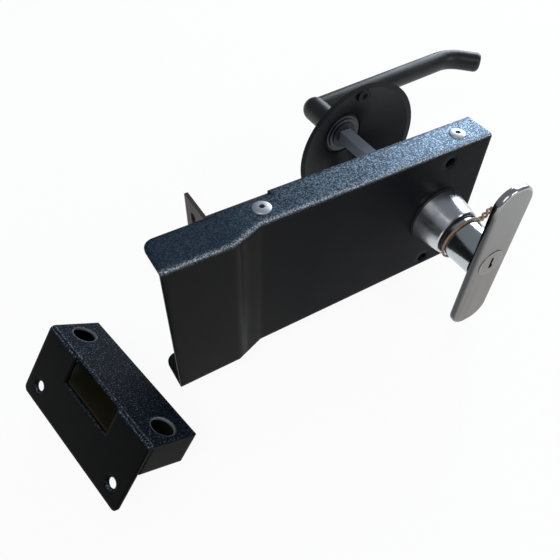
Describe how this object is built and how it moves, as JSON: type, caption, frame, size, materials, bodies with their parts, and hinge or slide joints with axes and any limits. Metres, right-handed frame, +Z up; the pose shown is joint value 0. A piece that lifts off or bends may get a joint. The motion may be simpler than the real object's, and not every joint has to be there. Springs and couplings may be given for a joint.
{
  "type": "fire door rim lock",
  "caption": "Surface-mounted fire door rim lock: hooded steel case with a spring latch, keyed T handle on a tapered collar, far-side lever on a round rose, and a separate strike box.",
  "frame": {"origin": "on the spindle axis at the case's door face, midway between the through bolt holes", "axes": "+Y goes into the door along the spindle, +X runs from the latch end to the lever's tip, +Z is up"},
  "size_m": [0.3967, 0.1976, 0.102],
  "materials": {
    "cover_paint": "hammered black coat",
    "plate_steel": "dark zinc",
    "forend_paint": "smooth dark coat",
    "rivet_aluminium": "bright",
    "works_steel": "zinc plated",
    "spring_steel": "drawn wire",
    "works_brass": "turned",
    "latch_bronze": "satin",
    "spindle_zinc": "blue zinc",
    "seal": "matt",
    "bright_chrome": "polished",
    "satin_nickel": "satin, polished edge",
    "ring_plastic": "matt",
    "tie_wire": "copper brown",
    "lever_paint": "matt black",
    "rose_paint": "satin black",
    "strike_paint": "hammered black coat",
    "strike_inside": "olive passivated"
  },
  "bodies": {
    "case": {"case_cover": "cover_paint", "back_plate": "plate_steel", "forend_plate": "forend_paint", "case_rivets": "rivet_aluminium", "bolt_spacers": "works_steel", "rod_guide": "works_steel", "guide_screws": "works_steel", "bar_studs": "works_steel", "spring_post": "works_steel", "return_spring": "spring_steel", "latch_spring": "spring_steel", "rear_bush": "works_brass", "front_bush": "works_brass", "collar_gasket": "seal", "cone_collar": "bright_chrome", "collar_nut": "works_steel", "neck_ring": "ring_plastic", "rose": "rose_paint", "rose_bush": "ring_plastic", "strike_cover": "strike_paint", "strike_base": "strike_inside"},
    "handle": {"handle_neck": "bright_chrome", "t_plate": "satin_nickel", "cylinder_body": "satin_nickel", "wire_tie": "tie_wire", "spindle": "spindle_zinc", "follower": "works_steel", "follower_pin": "works_steel", "lever": "lever_paint", "lever_circlip": "works_steel", "lever_grub_screw": "lever_paint"},
    "draw_bar": {"draw_bar": "works_steel"},
    "latch": {"latch_bolt": "latch_bronze", "latch_rod": "works_steel", "rod_nut": "works_steel"},
    "key": {"key_plug": "satin_nickel", "plug_clip": "works_steel", "lock_cam": "works_brass"},
    "lock_pin": {"locking_pin": "works_steel"}
  },
  "joints": [
    {"name": "lever_turn", "type": "hinge", "parent": "case", "child": "handle", "pos_m": [0, 0, 0], "axis": [0, 1, 0], "range_deg": [0, 40], "stiffness_Nm_per_rad": 0.9, "springref_deg": -34.38},
    {"name": "bar_slide", "type": "slide", "parent": "case", "child": "draw_bar", "axis": [1, 0, 0], "range_m": [0, 0.0125], "deforming": ["return_spring"]},
    {"name": "latch_slide", "type": "slide", "parent": "draw_bar", "child": "latch", "axis": [1, 0, 0], "range_m": [0, 0.012], "stiffness_N_per_m": 1500, "springref_m": -0.004, "deforming": ["latch_spring"]},
    {"name": "key_turn", "type": "hinge", "parent": "handle", "child": "key", "pos_m": [0, -0.06, 0], "axis": [0, -1, 0], "range_deg": [0, 90]},
    {"name": "pin_slide", "type": "slide", "parent": "handle", "child": "lock_pin", "axis": [0, 0, 1], "range_m": [0, 0.0026]}
  ],
  "couplings": [
    {"joint": "bar_slide", "follows": "lever_turn", "m_per_rad": 0.017637},
    {"joint": "pin_slide", "follows": "key_turn", "m_per_rad": 0.001621}
  ]
}
